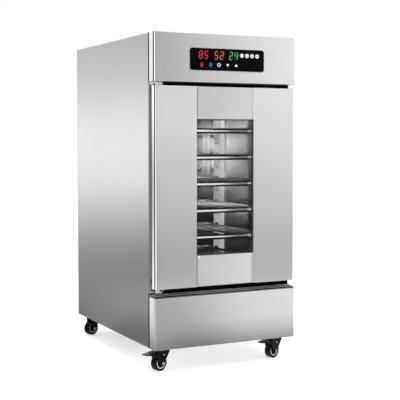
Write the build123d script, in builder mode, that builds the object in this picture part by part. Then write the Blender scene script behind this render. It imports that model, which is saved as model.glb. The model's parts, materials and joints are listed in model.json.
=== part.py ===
"""Single-door dough proofer on casters, in millimetres.

The origin is on the floor, under the middle of the cabinet.  +Z is up and the door
faces -Y, so the hinge side of the door is at -X.
"""
from build123d import *
from math import cos, radians, sin
import os

os.makedirs("parts", exist_ok=True)

# --- driving dimensions: cabinet ------------------------------------------------
body_width = 500
body_depth = 705
body_height = 975  # without the casters
caster_height = 72
header_height = 150
kick_height = 163
front_box_depth = 45  # header and kick panel stand this far in front of the frame
sill_rise = 8  # the kick panel's top slopes up to the frame by this much
sheet = 1  # outer and inner steel
base_sheet = 1.5
seam = 0.1  # between neighbouring pieces that are welded or glued edge to edge
bend_ease = 2  # what lies in a folded corner is chamfered or held back by this much
side_return = 12
pan_flange = 15
outer_bend = 4  # outside radius of the upright bends on the front boxes and door
side_wall = 35
rear_wall = 35
frame_sheet = 2
frame_lap = 10  # how far the front frame runs on behind header and kick panel

# --- driving dimensions: door ---------------------------------------------------
door_thickness = 34
door_side_gap = 5
door_top_gap = 13
door_bottom_gap = 16
hinge_stile = 139
pull_stile = 149
strip_recess = 7  # the strip between the stiles lies this far back
strip_fold = 10  # depth of the infill panels' side folds
window_rise = 97  # door's bottom edge to the window
window_drop = 101  # door's top edge to the window
window_frame_rim = 3
pane_thickness = 4
pane_gap = 8
pane_setback = 2  # of the outer pane behind the strip
pane_cover = 1.8  # width of pane held by the window frame
stile_return = 13
grip_setback = 8  # front of the finger groove from the door's face
grip_width = 16
grip_depth = 14
end_cap_depth = 16
core_gap = 0.9  # between the filling and the folded sheets, for their bends
liner_gap = 0.3
gasket_width = 15
gasket_inset = 13
gasket_squeeze_gap = 0.3
frame_land = 2  # strip of frame between gasket and opening
pivot_clearance = 2  # hinge axis to the gasket's edge
pivot_setback = 15  # hinge axis behind the door's face

# --- driving dimensions: hinges -------------------------------------------------
hinge_plate = 3
hinge_eye_radius = 14
hinge_leg_height = 18
hinge_leg_width = 44
hinge_leg_inset = 3
hinge_pin_radius = 4
hinge_pin_insert = 14
hinge_shoulder_radius = 7
upper_plate_gap = 3.2
lower_plate_gap = 7
swing_gap = 0.3  # between what turns and what carries it
running_clearance = 0.05

# --- driving dimensions: shelves and rack ---------------------------------------
shelf_count = 6
lowest_shelf = 28  # above the chamber's floor
highest_shelf = 107  # below its ceiling
shelf_rod_radius = 5
front_rod_setback = 90  # behind the cabinet's front
rear_rod_gap = 30  # in front of the duct panel
shelf_strip_width = 3
shelf_strip_height = 8
shelf_inner_strips = 7
shelf_play = 0.3  # between a shelf's side and the clips
post_width = 48
post_proud = 14
post_foot = 9
front_post_setback = 190
rear_post_gap = 114  # in front of the duct panel
post_slot_width = 14
post_slot_height = 5
clip_sheet = 2
clip_width = 24
clip_leg = 16
clip_ledge = 11

# --- driving dimensions: air, steam and electrics -------------------------------
duct_space = 95  # from the duct panel's face to the chamber's rear
duct_fold = 12
intake_radius = 70
intake_slots = 7
intake_slot_height = 8
outlet_slots = 8
outlet_slot_width = 46
outlet_slot_height = 10
outlet_slot_inset = 42
fan_height = 560  # above the body's bottom
fan_radius = 66
fan_hub_radius = 18
fan_hub_length = 22
fan_blades = 5
fan_blade_sheet = 1.2
fan_shaft_radius = 4
fan_motor_gap = 4
fan_shaft_insert = 18
blade_root_chord = 22
blade_tip_chord = 44
blade_sweep = 8  # cut off the tips' corners
blade_pitch = 58  # degrees from the fan's axis
motor_width = 66
motor_ear = 14
motor_length = 40
motor_plate = 3
air_heater_width = 150
air_heater_height = 46
air_heater_depth = 26
air_heater_drop = 120  # below the fan's axis
air_heater_fins = 11
fin_sheet = 1.5
tank_width = 250
tank_depth = 170
tank_height = 78
tank_setback = 400
steam_duct_width = 90
steam_duct_depth = 36
heater_rod_radius = 6
heater_rod_length = 140
lamp_width = 120
lamp_depth = 46
lamp_height = 16
lamp_setback = 130
power_supply_width = 130
power_supply_depth = 90
power_supply_height = 52
inlet_width = 50
inlet_height = 28
inlet_rise = 60
inlet_flange = 2.5
inlet_shoulder = 7
inlet_body = 20
inlet_pin_pitch = 8
louvre_count = 6
louvre_width = 150
louvre_height = 5
louvre_pitch = 14

# --- driving dimensions: control panel ------------------------------------------
glass_width = 262
glass_height = 68
glass_thickness = 2.5
glass_corner = 8
glass_rise = 37  # header's bottom edge to the glass
glass_lap = 6
key_radius = 6.5
key_inset = 25.55  # from the glass's end to the last key
key_pitch = 18.35
key_rise = 49  # above the glass's bottom edge
key_proud = 1.5
key_travel = 1.2
key_clearance = 0.3
key_flange = 15.5
key_flange_sheet = 1.5
key_stem = 5
display_height = 28
display_gap = 1  # behind the glass
standoff_side = 5
display_inset = 27  # from the glass's end to the first display
display_spacing = 15  # between neighbouring displays
display_key_gap = 2.65  # between the last display and the first key's flange
display_rise = 47
board_sheet = 1.6
board_setback = 16  # behind the header's face
board_margin = 8

# --- driving dimensions: casters ------------------------------------------------
caster_inset = 46
wheel_radius = 25
wheel_width = 19
caster_trail = 16
trail_angle = 200  # degrees from +X to the way the wheels trail
caster_plate = 2.5
caster_plate_side = 46
boss_radius = 7  # round boss under the plate that the fork turns on
boss_gap = 6  # from the plate down to the fork
fork_width = 31
fork_leg = 3
fork_crown = 5
fork_front = 17  # how far the fork reaches in front of the swivel axis
fork_back = 24
axle_radius = 3.5
axle_boss = 8
nut_size = 10  # across flats
nut_height = 4
pedal_width = 22
pedal_reach = 47  # from its pivot
pedal_pivot_out = 30
pedal_pivot_height = 54
pedal_pivot_boss = 5
pedal_pin_radius = 2.5
pedal_rise = 12  # of its heel above the pivot
pedal_tip_rise = 5.5
pedal_tip = 2.7
shoe_drop = 8
shoe_out = 4

# --- planes worked out from them ------------------------------------------------
left, right = -body_width / 2, body_width / 2
front, back = -body_depth / 2, body_depth / 2
bottom = caster_height
top = bottom + body_height
frame_y = front + front_box_depth
header_bottom = top - header_height
kick_top = bottom + kick_height
sill = kick_top + sill_rise

door_left, door_right = left + door_side_gap, right - door_side_gap
door_bottom = sill + door_bottom_gap
door_top = header_bottom - door_top_gap
door_back = front + door_thickness
strip_left = door_left + hinge_stile
strip_right = door_right - pull_stile
strip_y = front + strip_recess
window_bottom = door_bottom + window_rise
window_top = door_top - window_drop

cavity_left, cavity_right = left + side_wall, right - side_wall
cavity_front = frame_y + frame_sheet
cavity_back = back - rear_wall
cavity_floor = door_bottom + gasket_inset + gasket_width + frame_land
cavity_ceiling = door_top - gasket_inset - gasket_width - frame_land
gasket_left = cavity_left - frame_land - gasket_width
gasket_right = cavity_right + frame_land + gasket_width
gasket_bottom = door_bottom + gasket_inset
gasket_top = door_top - gasket_inset
gasket_back = frame_y - gasket_squeeze_gap

pivot_x = gasket_left - pivot_clearance
pivot_y = front + pivot_setback
post_face = side_wall + post_proud  # from the cabinet's side to a post's face
shelf_half_width = body_width / 2 - post_face - clip_sheet - shelf_play
shelf_reach = cavity_ceiling - highest_shelf - cavity_floor - lowest_shelf
shelf_pitch = shelf_reach / (shelf_count - 1)
shelf_levels = [cavity_floor + lowest_shelf + i * shelf_pitch for i in range(shelf_count)]
duct_y = cavity_back - duct_space
front_rod_y = front + front_rod_setback
rear_rod_y = duct_y - rear_rod_gap
fan_z = bottom + fan_height
glass_bottom = header_bottom + glass_rise
key_z = glass_bottom + key_rise
key_xs = [glass_width / 2 - key_inset - i * key_pitch for i in (3, 2, 1, 0)]
display_start = display_inset - glass_width / 2
display_end = key_xs[0] - key_flange / 2 - display_key_gap
display_pitch = (display_end - display_start + display_spacing) / 3
display_width = display_pitch - display_spacing
display_xs = [display_start + display_width / 2 + i * display_pitch for i in range(3)]


def save(builder, name):
    """Label a finished piece and write it out."""
    builder.part.label = name
    export_step(builder.part, f"parts/{name}.step")


def folded(points, plane, bend=2.0, thickness=sheet):
    """Section of a sheet folded along its middle line."""
    with BuildSketch(plane) as section:
        with BuildLine():
            FilletPolyline(*points, radius=bend)
        trace(line_width=thickness)
    return section.sketch


def block(x, y, z):
    """Square-edged solid between two values along each axis."""
    with BuildPart() as solid:
        with BuildSketch(Plane.XY.offset(z[0])):
            with Locations(((x[0] + x[1]) / 2, (y[0] + y[1]) / 2)):
                Rectangle(x[1] - x[0], y[1] - y[0])
        extrude(amount=z[1] - z[0])
    return solid.part


def facing_front(y):
    """Plane across the cabinet at y, seen from the front: local x is X, local y is Z."""
    return Plane.XZ.offset(-y)


# --- cabinet: outer panels ------------------------------------------------------
half = sheet / 2
side_section = folded(
    [
        (left + side_return, frame_y + half),
        (left + half, frame_y + half),
        (left + half, back - sheet - half),
        (left + side_return, back - sheet - half),
    ],
    Plane.XY.offset(bottom),
)
with BuildPart() as left_side_panel:
    extrude(side_section, amount=body_height)
save(left_side_panel, "left_side_panel")

with BuildPart() as right_side_panel:
    mirror(left_side_panel.part, about=Plane.YZ)
save(right_side_panel, "right_side_panel")

pan_front, pan_back = frame_y + sheet, back - 2 * sheet
with BuildPart() as top_panel:
    add(block((left + sheet, right - sheet), (pan_front, pan_back), (top - pan_flange, top)))
    chamfer(top_panel.edges().filter_by(Axis.Z), length=bend_ease)
    offset(amount=-sheet, openings=top_panel.faces().sort_by(Axis.Z)[0])
save(top_panel, "top_panel")

with BuildPart() as base_panel:
    add(block((left + sheet, right - sheet), (pan_front, pan_back), (bottom, bottom + pan_flange)))
    chamfer(base_panel.edges().filter_by(Axis.Z), length=bend_ease)
    offset(amount=-base_sheet, openings=base_panel.faces().sort_by(Axis.Z)[-1])
save(base_panel, "base_panel")

with BuildPart() as rear_panel:
    add(block((left, right), (back - sheet, back), (bottom, top)))
    with BuildSketch(facing_front(back)):
        with Locations((0, (header_bottom + top) / 2), (0, (bottom + sill) / 2 + pan_flange)):
            with GridLocations(0, louvre_pitch, 1, louvre_count):
                Rectangle(louvre_width, louvre_height)
        with Locations((right - side_wall - inlet_width, bottom + inlet_rise)):
            Rectangle(inlet_width - inlet_shoulder, inlet_height - inlet_shoulder)
    extrude(amount=2 * sheet, both=True, mode=Mode.SUBTRACT)
save(rear_panel, "rear_panel")


def front_box(profile):
    """Steel box open to the frame: a side profile run across the cabinet, bent and hollowed."""
    with BuildPart() as box:
        with BuildSketch(Plane.YZ.offset(left)):
            with BuildLine():
                Polyline(*profile, close=True)
            make_face()
        extrude(amount=body_width)
        uprights = box.edges().filter_by(Axis.Z).group_by(Axis.Y)[0]
        fillet(uprights, radius=outer_bend)
        offset(amount=-sheet, openings=box.faces().filter_by(Axis.Y).sort_by(Axis.Y)[-1])
    return box.part


with BuildPart() as header_panel:
    add(front_box([(front, header_bottom), (front, top), (frame_y, top), (frame_y, header_bottom)]))
    with BuildSketch(facing_front(front)):
        with Locations((0, glass_bottom + glass_height / 2)):
            Rectangle(glass_width - 2 * glass_lap, glass_height - 2 * glass_lap)
    extrude(amount=2 * sheet, both=True, mode=Mode.SUBTRACT)
save(header_panel, "header_panel")

with BuildPart() as kick_panel:
    add(front_box([(front, bottom), (front, kick_top), (frame_y, sill), (frame_y, bottom)]))
save(kick_panel, "kick_panel")

# --- cabinet: front frame, lining, insulation -----------------------------------
frame_low, frame_high = kick_top - frame_lap, header_bottom + frame_lap
frame_depth = (frame_y, cavity_front)
with BuildPart() as front_frame:
    for x in ((left + side_return, cavity_left), (cavity_right, right - side_return)):
        add(block(x, frame_depth, (frame_low, frame_high)))
    for z in ((frame_low, cavity_floor), (cavity_ceiling, frame_high)):
        add(block((cavity_left + seam, cavity_right - seam), frame_depth, z))
save(front_frame, "front_frame")

steam_y = front + tank_setback
steam_x_span = (-steam_duct_width / 2, steam_duct_width / 2)
steam_y_span = (steam_y - steam_duct_depth / 2, steam_y + steam_duct_depth / 2)
lining_left, lining_right = cavity_left - sheet, cavity_right + sheet
cavity_depth = (cavity_front, cavity_back)
with BuildPart() as inner_lining:
    for x in ((lining_left, cavity_left), (cavity_right, lining_right)):
        add(block(x, cavity_depth, (cavity_floor, cavity_ceiling)))
    add(
        block(
            (lining_left, lining_right),
            (cavity_back + seam, cavity_back + seam + sheet),
            (cavity_floor, cavity_ceiling),
        )
    )
    for z in (cavity_floor - seam - sheet, cavity_ceiling + seam):
        add(block((lining_left, lining_right), cavity_depth, (z, z + sheet)))
    add(block(steam_x_span, steam_y_span, (sill, cavity_floor)), mode=Mode.SUBTRACT)
save(inner_lining, "inner_lining")

foam_front, foam_back = frame_y + 2 * bend_ease, back - sheet - 2 * bend_ease
foam_floor = cavity_floor - sheet - 2 * seam
foam_ceiling = cavity_ceiling + sheet + 2 * seam
with BuildPart() as insulation:
    for x in ((left + sheet, lining_left - seam), (lining_right + seam, right - sheet)):
        add(block(x, (foam_front, foam_back), (sill, header_bottom)))
    for z in ((sill, foam_floor), (foam_ceiling, header_bottom)):
        add(block((lining_left, lining_right), (foam_front, foam_back), z))
    add(
        block(
            (lining_left, lining_right),
            (cavity_back + sheet + 2 * seam, foam_back),
            (foam_floor + seam, foam_ceiling - seam),
        )
    )
    add(block(steam_x_span, steam_y_span, (sill - sheet, foam_floor + sheet)), mode=Mode.SUBTRACT)
save(insulation, "insulation")

# --- rack: posts, clips and shelves ---------------------------------------------


def rack_post(y):
    """Hat-shaped post on the left wall, slotted half-way between the shelves."""
    low, high = y - post_width / 2, y + post_width / 2
    height = (cavity_floor, cavity_ceiling)
    with BuildPart() as post:
        add(block((cavity_left, cavity_left + post_proud), (low, high), height))
        hollow = (cavity_left, cavity_left + post_proud - sheet)
        add(block(hollow, (low + sheet, high - sheet), height), mode=Mode.SUBTRACT)
        foot_y = (low - post_foot, high + post_foot)
        for foot in ((foot_y[0], low), (high, foot_y[1])):
            add(block((cavity_left, cavity_left + sheet), foot, height))
        with BuildSketch(Plane.YZ.offset(cavity_left + post_proud)):
            with Locations([(y, z + shelf_pitch / 2) for z in shelf_levels]):
                Rectangle(post_slot_width, post_slot_height)
        extrude(amount=-2 * sheet, mode=Mode.SUBTRACT)
    return post.part


post_ys = (front + front_post_setback, duct_y - rear_post_gap)
with BuildPart() as rack_posts:
    for y in post_ys:
        add(rack_post(y))
    mirror(rack_posts.part, about=Plane.YZ)
save(rack_posts, "rack_posts")

strip_drop = shelf_strip_height - shelf_rod_radius  # strips end level with the rods' tops
post_face_x = cavity_left + post_proud


def shelf_clip(y, level):
    """Angle clip on a left post, with its ledge under the shelf's side strip."""
    ledge_top = level - strip_drop
    ledge_bottom = ledge_top - clip_sheet
    with BuildPart() as clip:
        with BuildSketch(Plane.XZ.offset(-y)):
            with BuildLine():
                Polyline(
                    (post_face_x, ledge_bottom),
                    (post_face_x + clip_ledge, ledge_bottom),
                    (post_face_x + clip_ledge, ledge_top),
                    (post_face_x + clip_sheet, ledge_top),
                    (post_face_x + clip_sheet, ledge_bottom + clip_leg),
                    (post_face_x, ledge_bottom + clip_leg),
                    close=True,
                )
            make_face()
        extrude(amount=clip_width / 2, both=True)
    return clip.part


with BuildPart() as shelf_clips:
    for y in post_ys:
        for level in shelf_levels:
            add(shelf_clip(y, level))
    mirror(shelf_clips.part, about=Plane.YZ)
save(shelf_clips, "shelf_clips")

strip_span = rear_rod_y - front_rod_y - 2 * shelf_rod_radius - 2 * seam
strip_pitch = (2 * shelf_half_width - shelf_strip_width) / (shelf_inner_strips + 1)
for number, level in enumerate(shelf_levels, start=1):
    with BuildPart() as shelf:
        with BuildSketch(Plane.YZ.offset(-shelf_half_width)):
            with Locations((front_rod_y, level), (rear_rod_y, level)):
                Circle(shelf_rod_radius)
        extrude(amount=2 * shelf_half_width)
        with BuildSketch(Plane.XY.offset(level - strip_drop)):
            with Locations((0, (front_rod_y + rear_rod_y) / 2)):
                with GridLocations(strip_pitch, 0, shelf_inner_strips + 2, 1):
                    Rectangle(shelf_strip_width, strip_span)
        extrude(amount=shelf_strip_height)
    save(shelf, f"shelf_{number}")

# --- air and steam --------------------------------------------------------------
with BuildPart() as duct_panel:
    add(
        block(
            (cavity_left, cavity_right),
            (duct_y, duct_y + duct_fold),
            (cavity_floor, cavity_ceiling),
        )
    )
    offset(amount=-sheet, openings=duct_panel.faces().sort_by(Axis.Y)[-1])
    with BuildSketch(facing_front(duct_y)):
        slot_pitch = 2 * intake_radius / intake_slots
        for i in range(intake_slots):
            drop = (i - (intake_slots - 1) / 2) * slot_pitch
            with Locations((0, fan_z + drop)):
                Rectangle(2 * (intake_radius**2 - drop**2) ** 0.5, intake_slot_height)
        column = cavity_right - outlet_slot_inset
        row = (cavity_ceiling - cavity_floor) / (outlet_slots + 1)
        with Locations((0, (cavity_floor + cavity_ceiling) / 2)):
            with GridLocations(2 * column, row, 2, outlet_slots):
                Rectangle(outlet_slot_width, outlet_slot_height)
    extrude(amount=2 * sheet, both=True, mode=Mode.SUBTRACT)
save(duct_panel, "duct_panel")

motor_front = cavity_back - motor_length
motor_side = motor_width / 2
with BuildPart() as fan_motor:
    motor_z = (fan_z - motor_side, fan_z + motor_side)
    add(block((-motor_side, motor_side), (motor_front, cavity_back - motor_plate), motor_z))
    chamfer(fan_motor.edges().filter_by(Axis.Y), length=motor_side / 4)
    plate_x = (-motor_side - motor_ear, motor_side + motor_ear)
    add(block(plate_x, (cavity_back - motor_plate, cavity_back), motor_z))
    with BuildSketch(facing_front(motor_front)):
        with Locations((0, fan_z)):
            Circle(fan_shaft_radius + running_clearance)
    extrude(amount=-fan_shaft_insert - fan_motor_gap, mode=Mode.SUBTRACT)
save(fan_motor, "fan_motor")

hub_back = motor_front - fan_motor_gap
hub_middle = hub_back - fan_hub_length / 2
with BuildPart() as fan_rotor:
    with BuildSketch(facing_front(hub_back)):
        with Locations((0, fan_z)):
            Circle(fan_hub_radius)
    extrude(amount=fan_hub_length)
    with BuildSketch(facing_front(hub_back)):
        with Locations((0, fan_z)):
            Circle(fan_shaft_radius)
    extrude(amount=-fan_motor_gap - fan_shaft_insert)
    lean = radians(blade_pitch)
    root, tip = fan_hub_radius - fan_blade_sheet, fan_radius
    for i in range(fan_blades):
        turn = radians(360 * i / fan_blades)
        outward = Vector(cos(turn), 0, sin(turn))
        round_the_hub = Vector(-sin(turn), 0, cos(turn))
        facing = Vector(0, sin(lean), 0) - round_the_hub * cos(lean)
        with BuildSketch(Plane(origin=(0, hub_middle, fan_z), x_dir=outward, z_dir=facing)):
            with BuildLine():
                Polyline(
                    (root, -blade_root_chord / 2),
                    (tip - blade_sweep, -blade_tip_chord / 2),
                    (tip, blade_sweep - blade_tip_chord / 2),
                    (tip, blade_tip_chord / 2 - blade_sweep),
                    (tip - blade_sweep, blade_tip_chord / 2),
                    (root, blade_root_chord / 2),
                    close=True,
                )
            make_face()
        extrude(amount=fan_blade_sheet / 2, both=True)
save(fan_rotor, "fan_rotor")

with BuildPart() as air_heater:
    heater_top = fan_z - air_heater_drop
    fin_pitch = (air_heater_width - fin_sheet) / air_heater_fins
    with BuildSketch(Plane.XY.offset(heater_top)):
        with Locations((0, cavity_back - air_heater_depth / 2)):
            Rectangle(air_heater_width, air_heater_depth)
            with GridLocations(fin_pitch, 0, air_heater_fins, 1):
                Rectangle(
                    fin_pitch - fin_sheet, air_heater_depth - 4 * fin_sheet, mode=Mode.SUBTRACT
                )
    extrude(amount=-air_heater_height)
save(air_heater, "air_heater")

tank_x = (-tank_width / 2, tank_width / 2)
tank_y = (steam_y - tank_depth / 2, steam_y + tank_depth / 2)
tank_bottom = bottom + base_sheet
tank_top = tank_bottom + tank_height
heater_rod_z = tank_bottom + tank_height / 3
with BuildPart() as humidifier_tank:
    add(block(tank_x, tank_y, (tank_bottom, tank_top)))
    offset(amount=-sheet, openings=humidifier_tank.faces().sort_by(Axis.Z)[-1])
    with BuildSketch(facing_front(tank_y[0])):
        with Locations((0, heater_rod_z)):
            Circle(heater_rod_radius + running_clearance)
    extrude(amount=2 * sheet, both=True, mode=Mode.SUBTRACT)
save(humidifier_tank, "humidifier_tank")

with BuildPart() as tank_lid:
    add(block(tank_x, tank_y, (tank_top, tank_top + sheet)))
    add(block(steam_x_span, steam_y_span, (tank_top, tank_top + sheet)), mode=Mode.SUBTRACT)
save(tank_lid, "tank_lid")

with BuildPart() as immersion_heater:
    with BuildSketch(facing_front(tank_y[0])):
        with Locations((0, heater_rod_z)):
            RegularPolygon(2 * heater_rod_radius, 6)
    extrude(amount=heater_rod_radius)
    with BuildSketch(facing_front(tank_y[0])):
        with Locations((0, heater_rod_z)):
            Circle(heater_rod_radius)
    extrude(amount=-heater_rod_length)
save(immersion_heater, "immersion_heater")

with BuildPart() as steam_duct:
    add(block(steam_x_span, steam_y_span, (tank_top, cavity_floor)))
    ends = steam_duct.faces().filter_by(Axis.Z)
    offset(amount=-sheet, openings=ends)
save(steam_duct, "steam_duct")

lamp_y = front + lamp_setback
with BuildPart() as interior_lamp:
    add(
        block(
            (-lamp_width / 2, lamp_width / 2),
            (lamp_y - lamp_depth / 2, lamp_y + lamp_depth / 2),
            (cavity_ceiling - lamp_height, cavity_ceiling),
        )
    )
    chamfer(interior_lamp.faces().sort_by(Axis.Z)[0].edges(), length=lamp_height / 3)
save(interior_lamp, "interior_lamp")

# --- electrics ------------------------------------------------------------------
with BuildPart() as power_supply:
    add(
        block(
            (cavity_left, cavity_left + power_supply_width),
            (-power_supply_depth / 2, power_supply_depth / 2),
            (header_bottom, header_bottom + power_supply_height),
        )
    )
    chamfer(power_supply.faces().sort_by(Axis.Z)[-1].edges(), length=2)
save(power_supply, "power_supply")

inlet_x = right - side_wall - inlet_width
inlet_z = bottom + inlet_rise
with BuildPart() as power_inlet:
    with BuildSketch(facing_front(back)):
        with Locations((inlet_x, inlet_z)):
            Rectangle(inlet_width, inlet_height)
    extrude(amount=-inlet_flange)
    with BuildSketch(facing_front(back)):
        with Locations((inlet_x, inlet_z)):
            Rectangle(inlet_width - inlet_shoulder - seam, inlet_height - inlet_shoulder - seam)
    extrude(amount=inlet_body)
    with BuildSketch(facing_front(back + inlet_flange)):
        with Locations((inlet_x, inlet_z)):
            Rectangle(inlet_width - 3 * inlet_shoulder, inlet_height - 1.5 * inlet_shoulder)
    extrude(amount=inlet_body, mode=Mode.SUBTRACT)
    with BuildSketch(facing_front(back - inlet_body)):
        with Locations((inlet_x, inlet_z)):
            with GridLocations(inlet_pin_pitch, 0, 3, 1):
                Rectangle(2, 6)
    extrude(amount=-inlet_body + inlet_flange)
save(power_inlet, "power_inlet")

glass_middle = glass_bottom + glass_height / 2
with BuildPart() as control_glass:
    with BuildSketch(facing_front(front)):
        with Locations((0, glass_middle)):
            RectangleRounded(glass_width, glass_height, glass_corner)
        with Locations([(x, key_z) for x in key_xs]):
            Circle(key_radius + key_clearance, mode=Mode.SUBTRACT)
    extrude(amount=glass_thickness)
save(control_glass, "control_glass")

key_flange_y = front + key_clearance
key_stem_end = key_flange_y + key_flange_sheet + key_stem
for number, x in enumerate(key_xs, start=1):
    with BuildPart() as key:
        with BuildSketch(facing_front(key_flange_y)):
            with Locations((x, key_z)):
                Circle(key_radius)
        extrude(amount=key_clearance + glass_thickness + key_proud)
        with BuildSketch(facing_front(key_flange_y)):
            with Locations((x, key_z)):
                Rectangle(key_flange, key_flange)
        extrude(amount=-key_flange_sheet)
        with BuildSketch(facing_front(key_flange_y)):
            with Locations((x, key_z)):
                Rectangle(key_radius, key_radius)
        extrude(amount=-key_flange_sheet - key_stem)
    save(key, f"key_{number}")

board_y = front + board_setback
with BuildPart() as control_board:
    with BuildSketch(facing_front(board_y)):
        with Locations((0, glass_middle)):
            Rectangle(glass_width, glass_height - 2 * board_margin)
    extrude(amount=-board_sheet)
    with BuildSketch(facing_front(board_y)):
        with Locations([(x, glass_bottom + display_rise) for x in display_xs]):
            Rectangle(display_width, display_height)
    extrude(amount=board_setback - display_gap)
    with BuildSketch(facing_front(board_y)):
        with Locations([(x, key_z) for x in key_xs]):
            Rectangle(key_radius, key_radius)
    extrude(amount=board_y - key_stem_end - key_travel - key_clearance)
    with BuildSketch(facing_front(board_y)):
        with Locations((0, glass_middle)):
            with GridLocations(
                glass_width - standoff_side, glass_height - 2 * board_margin - standoff_side, 2, 2
            ):
                Rectangle(standoff_side, standoff_side)
    extrude(amount=board_setback - sheet)
save(control_board, "control_board")

# --- hinges ---------------------------------------------------------------------
leg_x = (left + hinge_leg_inset, left + hinge_leg_inset + hinge_leg_width)


def hinge_plate_at(z):
    """Hinge plate with a rounded eye round the pivot, its underside at z."""
    with BuildPart() as plate:
        with BuildSketch(Plane.XY.offset(z)):
            with BuildLine():
                CenterArc((pivot_x, pivot_y), hinge_eye_radius, 0, 360)
                Line((leg_x[0], frame_y), (leg_x[1], frame_y))
            make_hull()
        extrude(amount=hinge_plate)
    return plate.part


def hinge_round(radius, z):
    """Round length on the hinge axis between two heights."""
    with BuildPart() as length:
        with BuildSketch(Plane.XY.offset(z[0])):
            with Locations((pivot_x, pivot_y)):
                Circle(radius)
        extrude(amount=z[1] - z[0])
    return length.part


upper_plate = door_top + upper_plate_gap
lower_plate = door_bottom - lower_plate_gap - hinge_plate
leg_y = (frame_y - hinge_plate, frame_y)
with BuildPart() as hinge_brackets:
    add(hinge_plate_at(upper_plate))
    leg_top = upper_plate + hinge_plate
    add(block(leg_x, leg_y, (leg_top - hinge_leg_height, leg_top)))
    add(hinge_round(hinge_pin_radius, (door_top - hinge_pin_insert, upper_plate)))
    add(hinge_plate_at(lower_plate))
    add(block(leg_x, leg_y, (lower_plate, lower_plate + hinge_leg_height)))
    shoulder_top = door_bottom - swing_gap
    add(hinge_round(hinge_shoulder_radius, (lower_plate + hinge_plate, shoulder_top)))
    add(hinge_round(hinge_pin_radius, (shoulder_top, door_bottom + hinge_pin_insert)))
save(hinge_brackets, "hinge_brackets")

# --- door -----------------------------------------------------------------------
fold_back = strip_y + strip_fold
door_height = door_top - door_bottom
small_bend = 2
face_bend = outer_bend - half
hinge_side_section = folded(
    [
        (door_left + stile_return, door_back - half),
        (door_left + half, door_back - half),
        (door_left + half, front + half),
        (strip_left - half, front + half),
        (strip_left - half, fold_back),
    ],
    Plane.XY.offset(door_bottom),
    bend=[small_bend, face_bend, small_bend],
)
with BuildPart() as door_hinge_panel:
    extrude(hinge_side_section, amount=door_height)
save(door_hinge_panel, "door_hinge_panel")

grip_front = front + grip_setback
grip_back = grip_front + grip_width
grip_floor = door_right - grip_depth
pull_side_section = folded(
    [
        (strip_right + half, fold_back),
        (strip_right + half, front + half),
        (door_right - half, front + half),
        (door_right - half, grip_front - half),
        (grip_floor - half, grip_front - half),
        (grip_floor - half, grip_back + half),
        (door_right - half, grip_back + half),
        (door_right - half, door_back - half),
        (door_right - stile_return, door_back - half),
    ],
    Plane.XY.offset(door_bottom),
    bend=[small_bend, face_bend] + 5 * [small_bend],
)
with BuildPart() as door_pull_panel:
    extrude(pull_side_section, amount=door_height)
save(door_pull_panel, "door_pull_panel")

pan_x = (strip_left + seam, strip_right - seam)
with BuildPart() as door_infill_panels:
    for z in ((door_bottom, window_bottom), (window_top, door_top)):
        add(block(pan_x, (strip_y, fold_back), z))
        hollow = (pan_x[0] + sheet, pan_x[1] - sheet)
        add(block(hollow, (strip_y + sheet, fold_back), z), mode=Mode.SUBTRACT)
save(door_infill_panels, "door_infill_panels")

fill_back = door_back - sheet - liner_gap
hinge_fill_x = (door_left + sheet + core_gap, strip_left - sheet - core_gap)
pull_fill_x = (strip_right + sheet + core_gap, grip_floor - sheet - core_gap)
strip_fill_x = (strip_left + seam + sheet + core_gap, strip_right - seam - sheet - core_gap)
stile_fill_y = (front + sheet + core_gap, fill_back)
strip_fill_y = (strip_y + sheet + core_gap, fill_back)
core_bottom = door_bottom + end_cap_depth + seam
core_top = door_top - end_cap_depth - seam
with BuildPart() as door_core:
    for x in (hinge_fill_x, pull_fill_x):
        add(block(x, stile_fill_y, (core_bottom, core_top)))
    for z in ((core_bottom, window_bottom - seam), (window_top + seam, core_top)):
        add(block(strip_fill_x, strip_fill_y, z))
save(door_core, "door_core")

with BuildPart() as door_end_caps:
    for z in ((door_bottom, door_bottom + end_cap_depth), (door_top - end_cap_depth, door_top)):
        for x in (hinge_fill_x, pull_fill_x):
            add(block(x, stile_fill_y, z))
        add(block(strip_fill_x, strip_fill_y, z))
        add(block((hinge_fill_x[0], pull_fill_x[1]), (fold_back + core_gap, fill_back), z))
        add(hinge_round(hinge_pin_radius + running_clearance, z), mode=Mode.SUBTRACT)
save(door_end_caps, "door_end_caps")

frame_x = (strip_left + seam, strip_right - seam)
frame_z = (window_bottom + seam, window_top - seam)
sight_x = (frame_x[0] + window_frame_rim, frame_x[1] - window_frame_rim)
sight_z = (frame_z[0] + window_frame_rim, frame_z[1] - window_frame_rim)
outer_pane_y = strip_y + pane_setback
inner_pane_y = outer_pane_y + pane_thickness + pane_gap


def pane(y, edge):
    """Pane that reaches past the sight opening by the width given."""
    return block(
        (sight_x[0] - edge, sight_x[1] + edge),
        (y, y + pane_thickness),
        (sight_z[0] - edge, sight_z[1] + edge),
    )


with BuildPart() as door_liner:
    liner_side = door_right - stile_return - seam
    add(block((-liner_side, liner_side), (door_back - sheet, door_back), (door_bottom, door_top)))
    hole_x = (frame_x[0] - seam, frame_x[1] + seam)
    add(block(hole_x, (fill_back, door_back), (window_bottom, window_top)), mode=Mode.SUBTRACT)
save(door_liner, "door_liner")

with BuildPart() as window_frame:
    add(block(frame_x, (strip_y, door_back), frame_z))
    add(block(sight_x, (strip_y, door_back), sight_z), mode=Mode.SUBTRACT)
    for y in (outer_pane_y, inner_pane_y):
        add(pane(y, pane_cover), mode=Mode.SUBTRACT)
save(window_frame, "window_frame")

with BuildPart() as window_panes:
    for y in (outer_pane_y, inner_pane_y):
        add(pane(y, pane_cover - seam))
save(window_panes, "window_panes")

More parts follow.
